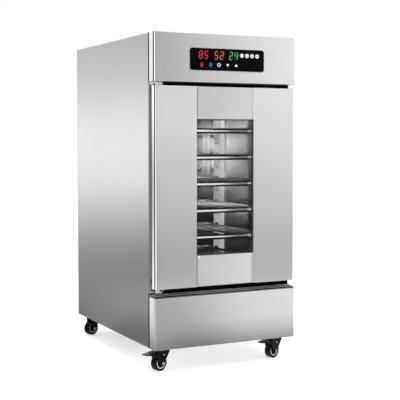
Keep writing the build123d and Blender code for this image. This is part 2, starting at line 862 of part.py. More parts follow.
gasket_y = (door_back, gasket_back)
with BuildPart() as door_gasket:
    for x in (gasket_left, gasket_right - gasket_width):
        add(block((x, x + gasket_width), gasket_y, (gasket_bottom, gasket_top)))
    rail_x = (gasket_left + gasket_width + seam, gasket_right - gasket_width - seam)
    for z in (gasket_bottom, gasket_top - gasket_width):
        add(block(rail_x, gasket_y, (z, z + gasket_width)))
save(door_gasket, "door_gasket")

# --- casters --------------------------------------------------------------------
swivel_xs = (left + caster_inset, right - caster_inset)
swivel_ys = (front + caster_inset, back - caster_inset)
trail_way = (cos(radians(trail_angle)), sin(radians(trail_angle)), 0)
axle_way = (trail_way[1], -trail_way[0], 0)
crown_top = bottom - caster_plate - boss_gap
crown_bottom = crown_top - fork_crown


def caster_side(x, y, out=0, up=0):
    """Upright plane along a caster: local x is the way it trails, local y is height."""
    origin = (x + out * trail_way[0], y + out * trail_way[1], up)
    return Plane(origin=origin, x_dir=trail_way, z_dir=axle_way)


with BuildPart() as caster_plates:
    for x in swivel_xs:
        for y in swivel_ys:
            with BuildSketch(Plane.XY.offset(bottom - caster_plate)):
                with Locations((x, y)):
                    Rectangle(caster_plate_side, caster_plate_side)
            extrude(amount=caster_plate)
            with BuildSketch(Plane.XY.offset(bottom - caster_plate)):
                with Locations((x, y)):
                    Circle(boss_radius)
            extrude(amount=crown_bottom + caster_plate - bottom)
save(caster_plates, "caster_plates")


def caster_fork(x, y, braked):
    """Fork with its axle and nuts; a braked one also carries the pedal's pivot."""
    side = caster_side(x, y)
    if braked:
        leg_back = pedal_pivot_out + pedal_pivot_boss
        leg_back_bottom = pedal_pivot_height - pedal_pivot_boss
    else:
        leg_back, leg_back_bottom = fork_back, crown_bottom
    with BuildPart() as fork:
        with BuildSketch(side):
            with BuildLine():
                Line((-fork_front, crown_top), (-fork_front, crown_bottom))
                Line((leg_back, crown_top), (leg_back, leg_back_bottom))
                for turn in range(8):
                    around = radians(22.5 + 45 * turn)
                    boss_corner = (
                        caster_trail + axle_boss * cos(around),
                        wheel_radius + axle_boss * sin(around),
                    )
                    Line(boss_corner, (caster_trail, wheel_radius))
            make_hull()
        extrude(amount=fork_width / 2, both=True)
        with BuildSketch(side):
            with Locations((0, crown_bottom)):
                Rectangle(4 * pedal_reach, crown_bottom, align=(Align.CENTER, Align.MAX))
            with Locations((fork_back, 0)):
                Rectangle(pedal_reach, crown_top, align=(Align.MIN, Align.MIN))
            if braked:
                with Locations((pedal_pivot_out, pedal_pivot_height)):
                    Circle(pedal_pivot_boss + swing_gap)
        extrude(amount=fork_width / 2 - fork_leg, both=True, mode=Mode.SUBTRACT)
        if braked:
            with BuildSketch(side):
                with Locations((pedal_pivot_out, pedal_pivot_height)):
                    Circle(pedal_pin_radius + running_clearance)
            extrude(amount=fork_width, both=True, mode=Mode.SUBTRACT)
        with BuildSketch(Plane.XY.offset(crown_bottom)):
            with Locations((x, y)):
                Circle(boss_radius + running_clearance)
        extrude(amount=fork_crown, mode=Mode.SUBTRACT)
        with BuildSketch(side):
            with Locations((caster_trail, wheel_radius)):
                Circle(axle_radius)
        extrude(amount=fork_width / 2, both=True)
        for face in (fork_width / 2, -fork_width / 2 - nut_height):
            with BuildSketch(side.offset(face)):
                with Locations((caster_trail, wheel_radius)):
                    RegularPolygon(nut_size / 2, 6, major_radius=False)
            extrude(amount=nut_height)
    return fork


def caster_wheel(x, y):
    """Moulded wheel with a bore for the axle."""
    middle = caster_side(x, y, caster_trail, wheel_radius)
    with BuildPart() as wheel:
        with BuildSketch(middle):
            Circle(wheel_radius)
        extrude(amount=wheel_width / 2, both=True)
        with BuildSketch(middle):
            Circle(axle_radius + running_clearance)
        extrude(amount=wheel_width / 2, both=True, mode=Mode.SUBTRACT)
    return wheel


def brake_pedal(x, y):
    """Pedal with a shoe over the tread, on a pin between the fork's legs."""
    pivot = caster_side(x, y, pedal_pivot_out, pedal_pivot_height)
    with BuildPart() as pedal:
        with BuildSketch(pivot):
            with BuildLine():
                Polyline(
                    (-pedal_pivot_boss, 0),
                    (-shoe_out, pedal_rise),
                    (pedal_reach, pedal_tip_rise),
                    (pedal_reach, pedal_tip_rise - pedal_tip),
                    (pedal_pivot_boss, -pedal_pivot_boss / 2),
                    (shoe_out, -shoe_drop),
                    (-pedal_pivot_boss / 2, -0.75 * shoe_drop),
                    close=True,
                )
            make_face()
        extrude(amount=pedal_width / 2, both=True)
        with BuildSketch(pivot):
            Circle(pedal_pin_radius)
        extrude(amount=fork_width / 2, both=True)
    return pedal


for row, y in zip(("front", "rear"), swivel_ys):
    for side_name, x in zip(("left", "right"), swivel_xs):
        save(caster_fork(x, y, row == "front"), f"caster_fork_{row}_{side_name}")
        save(caster_wheel(x, y), f"wheel_{row}_{side_name}")
        if row == "front":
            save(brake_pedal(x, y), f"brake_pedal_{row}_{side_name}")
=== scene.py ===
"""Single-door dough proofer on casters: materials, signs, small fasteners, light and camera.

Lengths are in metres and the object's front looks towards -y.
"""
import json
from math import cos, pi, radians, sin, tau

import bmesh
import bpy
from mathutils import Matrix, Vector


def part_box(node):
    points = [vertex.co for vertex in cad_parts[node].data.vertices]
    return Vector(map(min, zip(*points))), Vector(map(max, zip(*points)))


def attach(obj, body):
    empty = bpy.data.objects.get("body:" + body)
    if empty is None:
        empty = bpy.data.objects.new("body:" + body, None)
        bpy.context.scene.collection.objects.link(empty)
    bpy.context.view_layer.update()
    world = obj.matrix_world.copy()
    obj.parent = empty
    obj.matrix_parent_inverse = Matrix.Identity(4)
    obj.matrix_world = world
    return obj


X, Y, Z = Vector((1, 0, 0)), Vector((0, 1, 0)), Vector((0, 0, 1))
PROUD = 0.00005  # how far thin trim lies off the skin below it

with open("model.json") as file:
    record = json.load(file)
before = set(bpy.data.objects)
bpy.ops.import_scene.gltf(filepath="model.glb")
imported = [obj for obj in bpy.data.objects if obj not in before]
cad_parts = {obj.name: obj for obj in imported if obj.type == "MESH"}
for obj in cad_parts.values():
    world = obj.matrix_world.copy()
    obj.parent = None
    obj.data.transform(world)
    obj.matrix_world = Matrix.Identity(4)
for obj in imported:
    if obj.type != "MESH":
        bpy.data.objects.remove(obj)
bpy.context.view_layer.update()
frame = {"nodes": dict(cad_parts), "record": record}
nodes = frame["nodes"]

# --- node helpers -----------------------------------------------------------------


class Tree:
    """Short hand for building a node tree: a new material's, or the world's."""

    def __init__(self, name, world=None):
        self.mat = world or bpy.data.materials.new(name)
        self.mat.use_nodes = True
        self.nodes = self.mat.node_tree.nodes
        self.links = self.mat.node_tree.links
        self.bsdf = self.nodes.get("Principled BSDF")
        self.place = None

    def add(self, kind, **values):
        """New node. Each value is a property of it or, with _ for spaces, an input's default."""
        node = self.nodes.new("ShaderNode" + kind)
        for key, value in values.items():
            if hasattr(node, key):
                setattr(node, key, value)
            else:
                node.inputs[key.replace("_", " ")].default_value = value
        return node

    def link(self, out, into):
        self.links.new(out, into)

    def plug(self, socket, value):
        """Puts a link, a number or a colour on a socket."""
        if isinstance(value, bpy.types.NodeSocket):
            self.link(value, socket)
        elif isinstance(value, tuple):
            socket.default_value = (*value, 1)
        else:
            socket.default_value = value

    def set(self, **values):
        """Inputs of the Principled BSDF, with _ for spaces in their names."""
        for key, value in values.items():
            self.plug(self.bsdf.inputs[key.replace("_", " ")], value)

    def where(self, scale=(1, 1, 1)):
        """Object coordinates, stretched."""
        if self.place is None:
            self.place = self.add("TexCoord").outputs["Object"]
        mapping = self.add("Mapping")
        mapping.inputs["Scale"].default_value = scale
        self.link(self.place, mapping.inputs["Vector"])
        return mapping.outputs["Vector"]

    def noise(self, stretch=(1, 1, 1), scale=1.0, detail=4.0, rough=0.5):
        node = self.add("TexNoise", Scale=scale, Detail=detail, Roughness=rough)
        self.link(self.where(stretch), node.inputs["Vector"])
        return node.outputs["Fac"]

    def ramp(self, fac, stops):
        """Colour or grey ramp: stops are (position, value or colour)."""
        node = self.add("ValToRGB")
        for i, (position, value) in enumerate(stops):
            if i > 1:
                node.color_ramp.elements.new(position)
            element = node.color_ramp.elements[i]
            element.position = position
            element.color = (*value, 1) if isinstance(value, tuple) else (value, value, value, 1)
        self.link(fac, node.inputs["Fac"])
        return node.outputs["Color"]

    def mix(self, fac, a, b, blend="MIX"):
        node = self.add("Mix", data_type="RGBA", blend_type=blend)
        self.plug(node.inputs[0], fac)
        self.plug(node.inputs[6], a)
        self.plug(node.inputs[7], b)
        return node.outputs[2]

    def math(self, operation, a, b=0.0):
        node = self.add("Math", operation=operation)
        self.plug(node.inputs[0], a)
        self.plug(node.inputs[1], b)
        return node.outputs[0]

    def dot(self, a, b):
        node = self.add("VectorMath", operation="DOT_PRODUCT")
        self.link(a, node.inputs[0])
        self.link(b, node.inputs[1])
        return node.outputs["Value"]

    def axes(self, vector):
        """The x, y and z of a vector."""
        node = self.add("SeparateXYZ")
        self.link(vector, node.inputs[0])
        return node.outputs

    def turned(self, vector, origin, target):
        """A normal, taken from one space to another."""
        node = self.add("VectorTransform", vector_type="NORMAL")
        node.convert_from, node.convert_to = origin, target
        self.link(vector, node.inputs["Vector"])
        return node.outputs["Vector"]

    def bump(self, height, strength, distance, rounding):
        """Bumps the shader over eased edges: gives the eased normal and the bumped one."""
        node = self.add("Bump", Strength=strength, Distance=distance)
        self.link(height, node.inputs["Height"])
        edge = self.add("Bevel", samples=6, Radius=rounding)
        self.link(edge.outputs["Normal"], node.inputs["Normal"])
        self.link(node.outputs["Normal"], self.bsdf.inputs["Normal"])
        return edge.outputs["Normal"], node.outputs["Normal"]

    def fold(self, reach, lean, both, stops):
        """Normals of a broad rounded fold at a front panel's side edge, and where they hold.

        reach puts the corner at zero, lean tips the side outwards at its top, and with
        both the right side is folded too. stops are (mm behind the corner, share turned).
        """
        lead, span = 5, 25  # mm that the ramp covers before the corner, and in all
        before_corner = -0.0028  # where the fold begins on the front face
        least_agreement = 0.25  # with the face's own normal, so that inner faces keep theirs
        x, y, _ = self.axes(self.place)
        across = self.math("ABSOLUTE", x) if both else self.math("MULTIPLY", x, -1.0)
        past = self.math("ADD", self.math("ADD", across, y), reach)
        step = self.math("MULTIPLY", self.math("ADD", past, lead / 1000), 1000 / span)
        share = self.ramp(step, [((mm + lead) / span, value) for mm, value in stops])
        angle = self.math("MULTIPLY", share, pi / 2)
        way = self.add("CombineXYZ", Z=lean)
        sideways = self.math("MULTIPLY", self.math("SIGN", x), self.math("COSINE", angle))
        self.link(sideways, way.inputs["X"])
        self.link(self.math("MULTIPLY", self.math("SINE", angle), -1.0), way.inputs["Y"])
        unit = self.add("VectorMath", operation="NORMALIZE")
        self.link(way.outputs[0], unit.inputs[0])
        normal = self.turned(unit.outputs[0], "OBJECT", "WORLD")
        agreement = self.dot(normal, self.add("NewGeometry").outputs["Normal"])
        agrees = self.math("GREATER_THAN", agreement, least_agreement)
        there = self.math("MULTIPLY", agrees, self.math("GREATER_THAN", past, before_corner))
        return normal, there


def brushed(
    name,
    tone,
    rough,
    grain,
    contrast=0.02,
    rounding=0.0012,
    stain=0.03,
    warm=0.0,
    metal=1.0,
    streak=0.0,
    turn=0.0,
    returns=None,
    fold=None,
    shade=None,
):
    """Satin steel: long fine grain of some contrast, and faint clouding that is dimmer by stain.

    A streak above zero makes a panel's gloss anisotropic, along turn, with burnished bends and
    with the roughness returns on faces that look sideways. fold is what Tree.fold takes, and
    shade is (scale, stops): painted shade, a factor on the colour by height, stops at
    (height, factor).
    """
    bend_rough = 0.06
    t = Tree(name)
    fine = t.noise(grain, 1.0, 6.0, 0.7)
    cloud = t.noise((1, 1, 1), 3.2, 3.0, 0.55)
    low = tuple(c * (1 - contrast) for c in tone)
    dim = tuple(c * (1 - stain) for c in (1.0, 1.0, 1.0 - warm))
    colour = t.mix(t.ramp(fine, [(0.3, 0.0), (0.7, 1.0)]), low, tone)
    clouding = t.mix(t.ramp(cloud, [(0.35, 0.0), (0.65, 1.0)]), dim, (1, 1, 1))
    colour = t.mix(1.0, colour, clouding, "MULTIPLY")
    satin = t.ramp(fine, [(0.25, rough * 0.95), (0.75, rough * 1.05)])
    eased, bumped = t.bump(fine, 0.02, 0.0002, rounding)
    if fold:
        folded, there = t.fold(*fold)
        eased = t.mix(there, eased, folded)
        t.link(t.mix(there, bumped, folded), t.bsdf.inputs["Normal"])
    # painted shade: the colour is darkened by a factor that follows height
    if shade:
        scale, stops = shade
        height = t.math("MULTIPLY", t.axes(t.place)[2], scale)
        painted_shade_by_height = t.ramp(height, [(scale * z, value) for z, value in stops])
        colour = t.mix(1.0, colour, painted_shade_by_height, "MULTIPLY")
    if streak:
        t.set(Anisotropic=streak, Anisotropic_Rotation=turn)
        level = t.add("Tangent", direction_type="RADIAL", axis="Z")
        t.link(level.outputs["Tangent"], t.bsdf.inputs["Tangent"])
        facing = t.axes(t.turned(eased, "WORLD", "OBJECT"))
        aside = t.math("ABSOLUTE", facing["X"])
        slanting = t.math("MULTIPLY", aside, t.math("ABSOLUTE", facing["Y"]))
        satin = t.mix(t.ramp(aside, [(0.95, 0.0), (0.99, 1.0)]), satin, (returns,) * 3)
        satin = t.mix(t.ramp(slanting, [(0.02, 0.0), (0.12, 1.0)]), satin, (bend_rough,) * 3)
    t.set(Base_Color=colour, Metallic=metal, Roughness=satin)
    return t.mat


def plastic(
    name, tone, rough, grit=900.0, strength=0.1, coat=0.0, rounding=0.0006, worn=0.15, gloss=0.5
):
    """Moulded plastic or paint with a fine skin and slightly paler rubbed patches."""
    t = Tree(name)
    skin = t.noise((1, 1, 1), grit, 3.0, 0.6)
    patch = t.noise((1, 1, 1), 22.0, 4.0, 0.6)
    pale = tuple(min(1.0, c * (1 + worn) + 0.004) for c in tone)
    t.set(
        Base_Color=t.mix(t.ramp(patch, [(0.4, 0.0), (0.75, 1.0)]), tone, pale),
        Roughness=t.ramp(patch, [(0.3, rough * 0.85), (0.7, min(1.0, rough * 1.2))]),
        Coat_Weight=coat,
        Coat_Roughness=0.08,
        Specular_IOR_Level=gloss,
    )
    t.bump(skin, strength, 0.0001, rounding)
    return t.mat


def glowing(name, colour, strength, base=None):
    """Glowing element with a slightly uneven glow: lit signs and lamps, and painted light on the
    white keys.
    """
    t = Tree(name)
    glow = t.noise((1, 1, 1), 260.0, 2.0, 0.5)
    shade = tuple(c * 0.82 for c in colour)
    t.set(
        Base_Color=base or tuple(c * 0.4 for c in colour),
        Roughness=0.35,
        Emission_Color=t.mix(t.ramp(glow, [(0.35, 0.0), (0.65, 1.0)]), shade, colour),
        Emission_Strength=strength,
    )
    return t.mat


# --- materials --------------------------------------------------------------------

outer_tone = (0.86, 0.865, 0.87)
soft_black = (0.012, 0.012, 0.013)
upright_grain, flat_grain = (2200, 2200, 9), (9, 2200, 2200)
upright_panel = {"rounding": 0.003, "streak": 0.9, "turn": 0.0}
level_panel = {"rounding": 0.003, "streak": 0.95, "turn": 0.25}

upright = brushed(
    "steel_upright_grain", outer_tone, 0.25, upright_grain, returns=0.25, **upright_panel
)
door_fold = [
    (-1.5, 1.0), (-0.3, 0.75), (5.6, 0.52), (6.6, 0.4), (14.4, 0.155), (15.2, 0.03), (15.8, 0.0)
]
door_steel = brushed(
    "steel_door",
    outer_tone,
    0.25,
    upright_grain,
    returns=0.15,
    fold=(0.1075, 0.2, False, door_fold),
    **upright_panel,
)
level_grain = brushed(
    "steel_level_grain", outer_tone, 0.28, flat_grain, returns=0.28, **level_panel
)
satin_steel = brushed("steel_satin", outer_tone, 0.3, flat_grain, rounding=0.003)
header_fold = [
    (-3.0, 1.0), (-1.8, 0.75), (2.2, 0.52), (3.2, 0.4), (11.2, 0.155), (12.0, 0.03), (12.6, 0.0)
]
header_steel = brushed(
    "steel_header",
    outer_tone,
    0.28,
    flat_grain,
    returns=0.28,
    fold=(0.1025, 0.0, True, header_fold),
    **level_panel,
)
kick_fold = [
    (-1.0, 1.0), (0.2, 0.75), (2.6, 0.52), (3.4, 0.4), (6.4, 0.155), (7.2, 0.03), (7.8, 0.0)
]
# Painted shade on the kick panel: darker towards the bottom, and dark on its top bend and the
# sloping sill above z 0.2325.
kick_steel = brushed(
    "steel_kick",
    outer_tone,
    0.28,
    flat_grain,
    returns=0.12,
    fold=(0.1025, 0.2, True, kick_fold),
    shade=(4.0, [(0.075, 0.55), (0.12, 0.85), (0.15, 1.0), (0.2315, 1.0), (0.2325, 0.2)]),
    **level_panel,
)
# Painted shade on the cavity lining: darker towards the bottom, and darker again just under the
# ceiling lamp to dull its reflection.
lining_painted_shade = [
    (0.34, 0.12), (0.43, 0.2), (0.53, 0.55), (0.62, 1.0), (0.72, 1.0), (0.755, 0.8), (0.79, 0.35)
]
lining = brushed(
    "lining_steel", (0.9, 0.9, 0.905), 0.2, (30, 30, 1.2), 0.45, 0.0006, shade=(1.0, lining_painted_shade)
)
door_lining = brushed("door_lining_steel", (0.8, 0.8, 0.805), 0.25, (60, 60, 4), 0.06, 0.0006)
posts_steel = brushed(
    "post_steel", (0.97, 0.97, 0.975), 0.6, (200, 200, 9), 0.05, 0.0006, metal=0.2
)
bright = brushed("bright_steel", (0.9, 0.9, 0.91), 0.1, (60, 60, 60), 0.03, 0.0006, 0.05)
zinc = brushed("zinc_steel", (0.78, 0.78, 0.79), 0.3, (120, 120, 120), 0.12, 0.0006, 0.1, 0.03)
alloy = brushed("cast_alloy", (0.75, 0.76, 0.77), 0.35, (200, 200, 200), 0.1, 0.0005, 0.08)
foam = plastic("foam", (0.72, 0.62, 0.38), 0.9, 260.0, 0.5, worn=0.1)
moulded_black = (0.003, 0.003, 0.0035)
caster_black = plastic("caster_black", moulded_black, 0.12, 700.0, 0.04, 0.0, 0.0012, 0.3, 0.25)
wheel_black = plastic("wheel_black", moulded_black, 0.2, 900.0, 0.06, 0.0, 0.0015, 0.4, 0.2)
black_plastic = plastic("black_plastic", soft_black, 0.42, 1200.0, 0.15)
gasket_grey = plastic("gasket_grey", soft_black, 0.6, 600.0, 0.2, gloss=0.3)
# Black of the rubber seals and of the painted shadow strips: shelf lines, sill shade band and seam
# lines.
seal_and_shadow_black = plastic("seal_and_shadow_black", (0.003, 0.003, 0.003), 0.7, 600.0, 0.2, gloss=0.1)
# Painted shade for the strips over the folds beside the door.
jamb_shade_grey = plastic("jamb_shade_grey", (0.3, 0.3, 0.31), 0.5, 600.0, 0.2)
sill_grey = plastic("sill_grey", (0.5, 0.5, 0.505), 0.5, 600.0, 0.2, gloss=0.3)
# A paler copy of the sill grey: painted light on the rear sill strip.
sill_painted_lit = plastic("sill_painted_lit", (0.75, 0.75, 0.76), 0.5, 600.0, 0.2, gloss=0.3)
# The white keys are no lamps: their glow is painted light.
key_white = glowing("key_white", (0.95, 0.97, 1.0), 0.35, (0.84, 0.85, 0.86))
board_green = plastic("board_green", (0.02, 0.12, 0.05), 0.4, 900.0, 0.1, 0.3)
mark_grey = plastic("mark_grey", (0.1, 0.1, 0.11), 0.5, 1500.0, 0.05)
lamp_lens = glowing("lamp_lens", (1.0, 0.97, 0.92), 6.0, (0.9, 0.9, 0.88))


def drawn_wire():
    """Drawn round wire with a painted reflection: bright at mid-height, painted dark above and
    below, and painted darker where it ends.
    """
    t = Tree("shelf_wire")
    drawn = t.noise((900, 900, 900), 1.0, 4.0, 0.6)
    # painted reflection and shade: the colour follows the way the surface faces, bright at
    # mid-height, dark above and below and on faces that look sideways
    facing = t.axes(t.add("NewGeometry").outputs["Normal"])
    turned_up = t.math("ADD", t.math("MULTIPLY", facing[2], 0.5), 0.5)
    painted_reflection_band = t.ramp(turned_up, [(0.12, 0.06), (0.19, 0.97), (0.82, 0.97), (0.89, 0.06), (0.97, 0.06)])
    aside = t.ramp(t.math("ABSOLUTE", facing[0]), [(0.2, 1.0), (0.4, 0.3)])
    t.set(
        Base_Color=t.mix(1.0, painted_reflection_band, aside, "MULTIPLY"),
        Metallic=1.0,
        Roughness=t.ramp(drawn, [(0.3, 0.18), (0.7, 0.24)]),
    )
    return t.mat


def clear_pane():
    """Window glass with a faint smear."""
    t = Tree("window_glass")
    smear = t.noise((1, 1, 1), 7.0, 4.0, 0.6)
    t.set(
        Base_Color=(0.985, 0.995, 0.99),
        Transmission_Weight=1.0,
        IOR=1.12,
        Roughness=t.ramp(smear, [(0.5, 0.0), (0.9, 0.004)]),
    )
    return t.mat


def black_glass():
    """Dusty black glass of the control panel."""
    t = Tree("panel_glass")
    dust = t.noise((1, 1, 1), 90.0, 4.0, 0.6)
    clean, dusty = (0.002, 0.002, 0.003), (0.005, 0.005, 0.006)
    t.set(
        Base_Color=t.mix(t.ramp(dust, [(0.4, 0.0), (0.8, 1.0)]), clean, dusty),
        Roughness=t.ramp(dust, [(0.3, 0.04), (0.8, 0.09)]),
        Specular_IOR_Level=0.04,
    )
    return t.mat


def spacer_bar():
    """Window frame: black at its front edge, polished metal farther in."""
    t = Tree("window_spacer")
    forward = t.math("MULTIPLY", t.axes(t.where())["Y"], -1.0)
    inboard = t.ramp(forward, [(0.3395, 1.0), (0.344, 0.0)])
    drawn = t.noise((300, 300, 12), 1.0, 4.0, 0.6)
    polish = t.ramp(drawn, [(0.3, 0.08), (0.7, 0.14)])
    t.set(
        Base_Color=t.mix(inboard, soft_black, (0.8, 0.8, 0.81)),
        Metallic=inboard,
        Roughness=t.mix(inboard, (0.4, 0.4, 0.4), polish),
    )
    return t.mat


by_slot = {
    "outer_steel": upright,
    "inner_steel": lining,
    "shelf_chrome": drawn_wire(),
    "foam": foam,
    "zinc_steel": zinc,
    "caster_black": caster_black,
    "wheel_black": wheel_black,
    "black_plastic": black_plastic,
    "window_glass": clear_pane(),
    "gasket_grey": gasket_grey,
    "panel_glass": black_glass(),
    "key_white": key_white,
    "board_green": board_green,
    "fan_alloy": alloy,
    "lamp_lens": lamp_lens,
}
by_node = {
    "top_panel": satin_steel,
    "base_panel": satin_steel,
    "door_infill_panels": level_grain,
    "door_hinge_panel": door_steel,
    "door_pull_panel": door_steel,
    "header_panel": header_steel,
    "kick_panel": kick_steel,
    "hinge_brackets": bright,
    "rack_posts": posts_steel,
    "window_frame": spacer_bar(),
}
for part in frame["record"]["subparts"]:
    name, slot = part["node"], part["material_slot"]
    finish = by_node.get(name, by_slot[slot])
    if name.startswith("door_") and slot == "inner_steel":
        finish = door_lining
    nodes[name].data.materials.clear()
    nodes[name].data.materials.append(finish)


def ease_edges(name, width, segments):
    """Rounds a moulded piece's edges."""
    mod = nodes[name].modifiers.new("eased", "BEVEL")
    mod.width = width
    mod.segments = segments
    mod.limit_method = "ANGLE"
    mod.angle_limit = radians(50)
    mod.harden_normals = False


for name in nodes:
    if name.startswith("wheel_"):
        ease_edges(name, 0.0028, 4)
    elif name.startswith(("caster_fork", "brake_pedal")):
        ease_edges(name, 0.0007, 2)

# --- mesh helpers -----------------------------------------------------------------


def piece(name, bm, material, body, smooth=False):
    """Finishes a mesh as a named piece that rides on a body."""
    mesh = bpy.data.meshes.new(name)
    bmesh.ops.recalc_face_normals(bm, faces=bm.faces)
    bm.to_mesh(mesh)
    bm.free()
    for polygon in mesh.polygons:
        polygon.use_smooth = smooth
    mesh.materials.append(material)
    obj = bpy.data.objects.new(name, mesh)
    bpy.context.scene.collection.objects.link(obj)
    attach(obj, body)


def wall(bm, a, b):
    """Faces between two closed loops of vertices."""
    for i in range(len(a)):
        j = (i + 1) % len(a)
        bm.faces.new((a[i], a[j], b[j], b[i]))


def plate(bm, outline, origin, right, up, thick):
    """Flat plate: outline in (right, up) metres from origin, thick along right x up."""
    right, up = Vector(right), Vector(up)
    out = right.cross(up).normalized()
    low = [bm.verts.new(Vector(origin) + right * u + up * v) for u, v in outline]
    high = [bm.verts.new(p.co + out * thick) for p in low]
    bm.faces.new(low)
    bm.faces.new(high)
    wall(bm, low, high)


def ring(bm, centre, right, up, outer, inner, thick, start=0.0, end=tau, steps=32):
    """Flat ring or an arc of it."""
    right, up = Vector(right), Vector(up)
    out = right.cross(up).normalized()
    closed = end - start > tau - 1e-6
    count = steps if closed else steps + 1
    section = ((inner, 0), (outer, 0), (outer, thick), (inner, thick))
    rows = []
    for i in range(count):
        a = start + (end - start) * i / steps
        way = right * cos(a) + up * sin(a)
        rows.append([bm.verts.new(Vector(centre) + way * r + out * d) for r, d in section])
    for i in range(count if closed else count - 1):
        wall(bm, rows[i], rows[(i + 1) % count])
    if not closed:
        bm.faces.new(rows[0])
        bm.faces.new(rows[-1])


def dome(bm, centre, out, radius, height, steps=16, rings=3):
    """Low domed head of a screw or rivet."""
    centre, out = Vector(centre), Vector(out).normalized()
    right = out.orthogonal().normalized()
    up = out.cross(right)
    spokes = [right * cos(tau * i / steps) + up * sin(tau * i / steps) for i in range(steps)]
    below = None
    for k in range(rings):
        a = pi / 2 * k / rings
        r, h = radius * cos(a), height * sin(a)
        row = [bm.verts.new(centre + spoke * r + out * h) for spoke in spokes]
        if below:
            wall(bm, below, row)
        else:
            bm.faces.new(row)
        below = row
    tip = bm.verts.new(centre + out * height)
    for i in range(steps):
        bm.faces.new((below[i], below[(i + 1) % steps], tip))


def oblong(u0, u1, v0, v1):
    """Outline of a rectangle."""
    return [(u0, v0), (u1, v0), (u1, v1), (u0, v1)]


def rounded(w, h, r, steps):
    """Outline of a rounded rectangle centred on the origin."""
    points = []
    for cx, cy, a0 in (
        (w / 2 - r, h / 2 - r, 0),
        (r - w / 2, h / 2 - r, 90),
        (r - w / 2, r - h / 2, 180),
        (w / 2 - r, r - h / 2, 270),
    ):
        for i in range(steps + 1):
            a = radians(a0 + 90 * i / steps)
            points.append((cx + r * cos(a), cy + r * sin(a)))
    return points


# --- control panel ----------------------------------------------------------------

red = glowing("digit_red", (1.0, 0.03, 0.02), 0.37)
orange = glowing("digit_orange", (1.0, 0.2, 0.03), 0.37)
green = glowing("digit_green", (0.05, 0.8, 0.2), 0.37)
blue = glowing("icon_blue", (0.03, 0.3, 0.85), 0.9)
white = glowing("icon_white", (0.9, 0.95, 1.0), 1.0)
unlit = plastic("digit_unlit", (0.016, 0.014, 0.014), 0.3, 1500.0, 0.05)

glass_low, glass_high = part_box("control_glass")
glass_mid = (glass_low + glass_high) / 2
glass_face = glass_low.y - PROUD
glass_w, glass_h = glass_high.x - glass_low.x, glass_high.z - glass_low.z
PRINT = 0.0003  # thickness of the marks on the glass


def bezel():
    """Thin rim round the control glass, its face sloping down to the glass."""
    gap, width, low, high = 0.0003, 0.0015, 0.0006, 0.0014
    inner = rounded(glass_w + 2 * gap, glass_h + 2 * gap, 0.0083, 8)
    outer = rounded(glass_w + 2 * width, glass_h + 2 * width, 0.0095, 8)
    base_y = glass_high.y - 0.0001
    bm = bmesh.new()
    rows = []
    for near, far in zip(inner, outer):
        section = ((near, 0), (far, 0), (far, low), (near, high))
        rows.append(
            [bm.verts.new((glass_mid.x + u, base_y - d, glass_mid.z + v)) for (u, v), d in section]
        )
    for i, row in enumerate(rows):
        wall(bm, row, rows[(i + 1) % len(rows)])
    piece("panel_bezel", bm, level_grain, "cabinet")


def digit(lit, off, mark, x, z, w, h, bar, lean):
    """Seven-segment digit with its lower left corner at x, z: its bars go in lit or off."""
    on = {"8": "abcdefg", "5": "acdfg", "2": "abdeg", "4": "bcfg"}[mark]
    half, inset = h / 2, bar * 0.14
    bars = {
        "a": (0, h, w, h),
        "g": (0, half, w, half),
        "d": (0, 0, w, 0),
        "b": (w, half, w, h),
        "c": (w, 0, w, half),
        "e": (0, 0, 0, half),
        "f": (0, half, 0, h),
    }
    for key, (u0, v0, u1, v1) in bars.items():
        p, q = Vector((u0, v0)), Vector((u1, v1))
        along = (q - p).normalized()
        side = Vector((-along.y, along.x)) * bar / 2
        p, q = p + along * inset, q - along * inset
        tip = along * bar / 2
        outline = (p, p + tip + side, q - tip + side, q, q - tip - side, p + tip - side)
        target = lit if key in on else off
        plate(target, [(u + lean * v, v) for u, v in outline], (x, glass_face, z), X, Z, PRINT)


def displays():
    """Three displays of two digits each; all their dark bars are one piece."""
    base, height, bar, lean, gap = 0.9695, 0.0235, 0.003, 0.1, 0.009
    off = bmesh.new()
    for name, marks, x0, x1, material in (
        ("display_left", "85", -0.102, -0.068, red),
        ("display_middle", "52", -0.048, -0.013, orange),
        ("display_right", "24", 0.0045, 0.0374, green),
    ):
        lit = bmesh.new()
        width = (x1 - x0 - gap - lean * height - bar) / 2
        for i, mark in enumerate(marks):
            x = x0 + bar / 2 + i * (width + gap)
            digit(lit, off, mark, x, base, width, height, bar, lean)
        piece(name, lit, material, "cabinet")
    piece("display_unlit", off, unlit, "cabinet")


def icons():
    """Row of signs below the digits: heat, fan, clock, down and up."""
    heat, fan, clock, down, up = (
        (x, glass_face, 0.9515) for x in (-0.091, -0.06, -0.031, 0.0, 0.03)
    )
    stem = [(-0.0014, -0.0088), (0.0014, -0.0088), (0.0022, 0.0022), (-0.0022, 0.0022)]
    hand = [(-0.0006, -0.0006), (0.0034, 0.001), (0.003, 0.0018), (-0.0006, 0.001)]
    bm = bmesh.new()
    ring(bm, heat, X, Z, 0.006, 0.0047, PRINT)
    plate(bm, stem, heat, X, Z, PRINT)
    piece("icon_heat", bm, red, "cabinet")
    bm = bmesh.new()
    for k in range(4):
        a = tau * k / 4 + 0.3
        way, side = Vector((cos(a), sin(a))), Vector((-sin(a), cos(a)))
        blade = (
            way * 0.0012,
            way * 0.0034 + side * 0.0028,
            way * 0.0068 + side * 0.0013,
            way * 0.0062 - side * 0.001,
        )
        plate(bm, blade, fan, X, Z, PRINT)
    piece("icon_fan", bm, blue, "cabinet")
    bm = bmesh.new()
    ring(bm, clock, X, Z, 0.0058, 0.0042, PRINT)
    plate(bm, hand, clock, X, Z, PRINT)
    plate(bm, [(-0.005, 0.0035), (0.005, 0.0035), (0, -0.0045)], down, X, Z, PRINT)
    plate(bm, [(-0.005, -0.0035), (0.005, -0.0035), (0, 0.0045)], up, X, Z, PRINT)
    piece("icons_white", bm, white, "cabinet")


